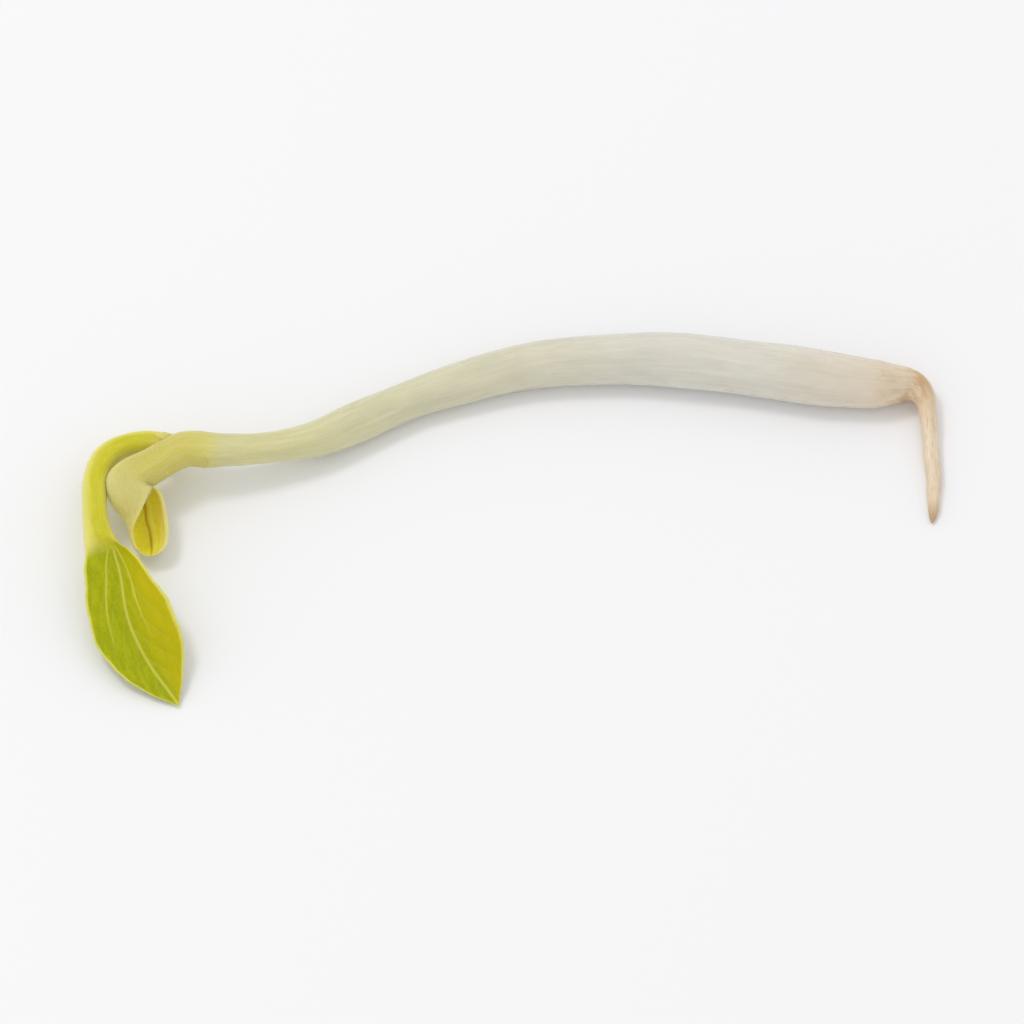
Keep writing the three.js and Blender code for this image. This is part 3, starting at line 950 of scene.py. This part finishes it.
def stem_colour(surface):
    """The colour that root, stem, epicotyl and folded stalk share, so that it runs on across joints.

    Also hands back the soft pattern that their gloss and relief follow."""
    station = surface.mark("station")
    colour = station_ramp(surface, station)
    colour = surface.lay(colour, PALE, surface.noise((7, 7, 9)), 0.35, 0.75, 0.12)
    # Fine lengthwise lines, which fade towards the leaves.
    lines = surface.noise((11, 11, 2.2), detail=1.0)
    strength = surface.span(station, 46.0, 52.0, 0.15, 0.06)
    light_lines = surface.times(strength, surface.span(lines, 0.5, 0.72))
    dark_lines = surface.times(strength, surface.span(lines, 0.42, 0.28, 0.0, 0.6))
    strands = surface.times(strength, surface.span(surface.mark("streak"), 0.3, 1.0))
    for factor, line_colour in ((light_lines, PALE), (dark_lines, SHADE), (strands, PALE)):
        colour = surface.mix(factor, colour, line_colour)
    # A rusty stain round the collar.
    rust = surface.span(surface.noise((1.5, 1.5, 6)), 0.46, 0.66, 0.0, 0.75)
    rust = surface.times(rust, surface.span(station, COLLAR_AT - 1.6, COLLAR_AT + 0.2))
    rust = surface.times(rust, surface.span(station, COLLAR_AT + 3.4, COLLAR_AT + 1.2))
    colour = surface.mix(rust, colour, RUST)
    cloudy = surface.span(surface.noise((1.2, 1.2, 2.5), detail=2.0), 0.3, 0.7, 0.96, 1.03)
    soften_joints(surface, station)
    return surface.tint(colour, cloudy), surface.noise((5, 5, 7), detail=0.5)


def soften_joints(surface, station):
    """Lets no light seep through near the joints, where it would stop at the end of each mesh."""
    weight = surface.inputs["Subsurface Weight"]
    depth = weight.default_value
    for joint in (COLLAR_AT, NODE_AT, FORK_AT):
        away = surface.math("ABSOLUTE", surface.math("SUBTRACT", station, joint))
        depth = surface.times(depth, surface.span(away, 0.1, 2.0))
    surface.feed(weight, depth)


def white_stem_material():
    surface = Surface("white_stem", 0.34, 0.9, 1.2, coat=0.06, specular=0.4)
    colour, skin = stem_colour(surface)
    near_collar = surface.span(surface.mark("station"), COLLAR_AT + 3.5, COLLAR_AT, 0.0, 0.7)
    stain = surface.times(near_collar, surface.span(surface.noise((2.2, 2.2, 9)), 0.42, 0.7))
    colour = surface.mix(stain, colour, TAN)
    colour = surface.lay(colour, TAN, surface.noise((7, 7, 40), detail=1.0), 0.74, 0.86, 0.25)
    surface.colour(colour)
    surface.roughness(skin, 0.22, 0.36)
    surface.relief(skin, SKIN_RELIEF)
    return surface.material


def root_material():
    surface = Surface("root", 0.5, 0.5, 0.45)
    colour, _ = stem_colour(surface)
    fibres = surface.noise((5, 5, 16))
    colour = surface.lay(colour, TAN, fibres, 0.45, 0.75, 0.6)
    surface.colour(surface.lay(colour, BROWN, surface.mark("station"), 1.4, 0.0, 0.4))
    surface.roughness(fibres, 0.4, 0.6)
    surface.relief(fibres, 0.02)
    return surface.material


def epicotyl_material():
    surface = Surface("epicotyl", 0.34, 0.65, 0.7, coat=0.1)
    colour, skin = stem_colour(surface)
    surface.colour(surface.lay(colour, TAN, surface.mark("scar"), 0.2, 1.0, 0.45))
    surface.roughness(skin, 0.28, 0.42)
    surface.relief(skin, SKIN_RELIEF)
    return surface.material


def open_leaf_material():
    surface = Surface("open_leaf", 0.42, 0.6, 0.5, specular=0.2)
    across, station = surface.mark("across"), surface.mark("station")
    cells = surface.noise((1, 1, 0.8), 7.0)
    strokes = surface.span(surface.noise((1, 1, 0.22), 3.2, detail=2.0), 0.3, 0.7)
    cloudy = surface.span(surface.noise((1, 1, 0.45), 0.7, detail=1.0), 0.3, 0.7, 0.55, 1.0)
    blade = surface.mix(strokes, BLADE_GREEN, BLADE_LIGHT)
    blade = surface.lay(blade, BLADE_CELL, cells, 0.35, 0.75, 0.25)
    # Painted light: the right half, which faces the light, is painted lighter and yellower than the
    # left, in cloudy patches.
    painted_light_right_half = surface.times(surface.span(across, -0.3, 0.8), cloudy)
    blade = surface.mix(painted_light_right_half, blade, BLADE_PAINTED_LIGHT)
    veinlets = surface.times(surface.net((1, 1, 0.7), 3.6, 0.16), 0.2)
    blade = surface.mix(veinlets, blade, BLADE_VEINLET)
    blade = surface.lay(blade, BLADE_VEIN, surface.mark("vein"), 0.1, 0.95, 0.7)
    # Painted highlight: a pale rim laid along the blade's margins.
    blade = surface.lay(blade, BLADE_MARGIN_HIGHLIGHT, surface.mark("edge"), 0.2, 1.0, 0.75)
    stalk = surface.mix(strokes, STALK_GREEN, STALK_LIGHT)
    stalk = surface.lay(stalk, STALK_BASE, station, 4.5, 0.5)
    # Painted highlight: a pale rim laid along the stalk's left side.
    stalk = surface.lay(stalk, STALK_LEFT_HIGHLIGHT, across, -0.15, -0.95, 0.85)
    stalk = surface.lay(stalk, STALK_RIGHT, across, 0.5, 0.95, 0.5)
    surface.colour(surface.mix(surface.mark("blade"), stalk, blade))
    surface.roughness(cells, 0.34, 0.48)
    surface.relief(cells, 0.02)
    return surface.material


def folded_leaf_material():
    surface = Surface("folded_leaf", 0.4, 0.8, 1.0, specular=0.25)
    stalk, skin = stem_colour(surface)
    # Painted highlight: a pale band laid along the hood's left side.
    stalk = surface.mix(surface.times(surface.mark("hood_highlight"), 0.6), stalk, HOOD_HIGHLIGHT)
    cells = surface.noise((1, 1, 0.6), 6.0, mark="leaf_grain")
    inside = surface.mix(surface.span(cells, 0.3, 0.7), TROUGH_YELLOW, TROUGH_LIGHT)
    veinlets = surface.times(surface.net((1, 1, 0.7), 4.5, 0.16, mark="leaf_grain"), 0.2)
    inside = surface.mix(veinlets, inside, TROUGH_VEINLET)
    inside = surface.mix(surface.times(surface.mark("pale_half"), 0.8), inside, TROUGH_PALE)
    inside = surface.lay(inside, TROUGH_VEIN, surface.mark("vein"), 0.2, 0.9, 0.7)
    # Painted shade: a dark line laid in the crease beside the midrib.
    inside = surface.lay(inside, TROUGH_CREASE_SHADE, surface.mark("crease"), 0.2, 1.0, 0.6)
    colour = surface.mix(surface.mark("inside"), stalk, inside)
    surface.colour(surface.lay(colour, FOLDED_MARGIN, surface.mark("edge"), 0.1, 0.9, 0.85))
    surface.roughness(cells, 0.32, 0.46)
    surface.relief(skin, SKIN_RELIEF)
    return surface.material


def hair_material():
    surface = Surface("hairs", 0.35, 0.0, 0.1, specular=0.6)
    surface.colour(HAIR_COLOUR)
    return surface.material


# ---------- pieces ----------


def dress(piece, material, slot, *nodes):
    piece.data.materials.append(material)
    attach(piece, "root")
    if nodes:
        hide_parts(*nodes)


dress(make_root(), root_material(), "root", "primary_root")
dress(make_hypocotyl(), white_stem_material(), "white_stem", "hypocotyl")

epicotyl, epicotyl_surface = make_epicotyl(), epicotyl_material()
dress(epicotyl, epicotyl_surface, "epicotyl", "epicotyl")
dress(make_young_leaf("terminal_bud", BUD_STATIONS), epicotyl_surface, "epicotyl")
dress(make_young_leaf("bract", BRACT_STATIONS), epicotyl_surface, "epicotyl")

open_leaf, folded_leaf = make_open_leaf(), make_folded_leaf()
dress(open_leaf, open_leaf_material(), "open_leaf", "open_primary_leaf")
dress(folded_leaf, folded_leaf_material(), "folded_leaf", "folded_primary_leaf")

# Piece, its axis and slot; seed, number and greatest length of its hairs; where they grow.
HAIR_GROWTH = [
    (epicotyl, stem, "epicotyl", 71, 160, 0.2, towards_fork),
    (folded_leaf, stem, "folded_leaf", 72, 1000, 0.29, on_folded_leaf, "inside", "edge"),
    (open_leaf, open_leaf_axis, "open_leaf", 73, 850, 0.25, on_open_leaf, "edge", "blade"),
]
hair = hair_material()
for piece, axis, slot, *growth in HAIR_GROWTH:
    dress(make_hairs(slot + "_hairs", piece, axis, *growth), hair, slot)

# ---------- stage ----------

ELEVATION = math.radians(60)  # the sprout is laid down, so the camera looks down on it
FRAME_WIDTH = 59.5 * MM  # what the picture spans at the sprout
LENS = 540.0  # long, so that the near and the far end of the sprout keep one scale
SENSOR = 36.0
NEAREST = 0.01
AIM = Vector((0.0, 0.0, 1.9)) * MM
FLOOR_SIZE = 3.0
FLOOR_DROP = 0.00001  # keeps the floor clear of the flats that lie on it
FLOOR_COLOUR = srgb(247, 247, 249)
KEY_AT = Vector((-0.2, 0.12, 0.46))  # behind the sprout to the left, and high
KEY_SIZE = 0.13
KEY_POWER = 0.5
KEY_COLOUR = (1.0, 0.99, 0.97)
STUDIO_LIGHT = 0.84


def add_to_scene(name, data, location, backwards):
    """A light or camera that looks against the direction backwards."""
    thing = bpy.data.objects.new(name, data)
    thing.location = location
    thing.rotation_euler = (-backwards).to_track_quat("-Z", "Y").to_euler()
    bpy.context.collection.objects.link(thing)
    return thing


def make_floor():
    bpy.ops.mesh.primitive_plane_add(size=FLOOR_SIZE, location=(0, 0, -FLOOR_DROP))
    floor = bpy.context.object
    floor.name = "floor"
    material = bpy.data.materials.new("floor")
    material.use_nodes = True
    shader = material.node_tree.nodes["Principled BSDF"]
    shader.inputs["Base Color"].default_value = FLOOR_COLOUR
    shader.inputs["Roughness"].default_value = 0.3
    floor.data.materials.append(material)


def make_key_light():
    data = bpy.data.lights.new("key", "AREA")
    data.shape = "DISK"
    data.size = KEY_SIZE
    data.energy = KEY_POWER
    data.color = KEY_COLOUR
    add_to_scene("key", data, KEY_AT, KEY_AT - AIM)


def make_camera():
    data = bpy.data.cameras.new("camera")
    data.lens = LENS
    data.sensor_width = SENSOR
    data.clip_start = NEAREST
    back = Vector((0, -math.cos(ELEVATION), math.sin(ELEVATION)))
    distance = FRAME_WIDTH * LENS / SENSOR
    bpy.context.scene.camera = add_to_scene("camera", data, AIM + back * distance, back)


def make_world():
    world = bpy.data.worlds.new("studio")
    world.use_nodes = True
    background = world.node_tree.nodes["Background"]
    background.inputs["Color"].default_value = (1.0, 1.0, 1.0, 1.0)
    background.inputs["Strength"].default_value = STUDIO_LIGHT
    bpy.context.scene.world = world


make_floor()
make_key_light()
make_world()
make_camera()
bpy.context.scene.view_settings.view_transform = "Standard"
